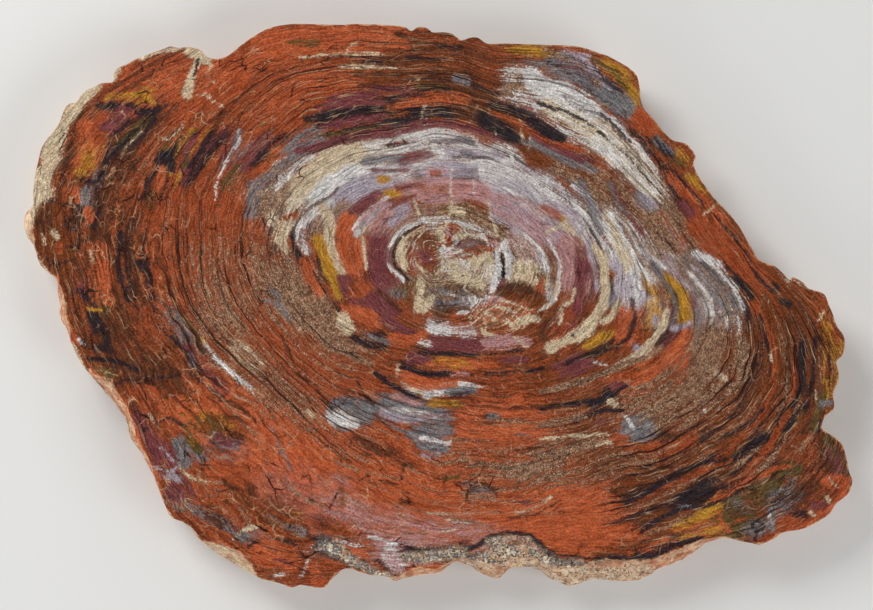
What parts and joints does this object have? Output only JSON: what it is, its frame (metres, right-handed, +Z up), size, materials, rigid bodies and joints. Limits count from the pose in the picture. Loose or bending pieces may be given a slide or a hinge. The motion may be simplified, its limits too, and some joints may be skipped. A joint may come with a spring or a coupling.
{
  "type": "petrified wood slab",
  "caption": "Cross-cut slab of petrified log with a polished ring-patterned face, rough flared side wall and cemented rock rind, lying flat.",
  "frame": {"origin": "middle of the slab's bounding box in plan, on the surface it lies on", "axes": "+Z up out of the polished face; +X along the slab's long side, towards its lobed end; +Y away from the conglomerate rind"},
  "size_m": [0.8314, 0.5642, 0.05],
  "materials": {
    "petrified_wood": "agatized wood, brick red with brown, black, plum, gold and grey-white growth rings, polished on top, rough on the side wall, sawn matt underneath"
  },
  "bodies": {
    "root": {"slab": "petrified_wood"}
  },
  "joints": []
}
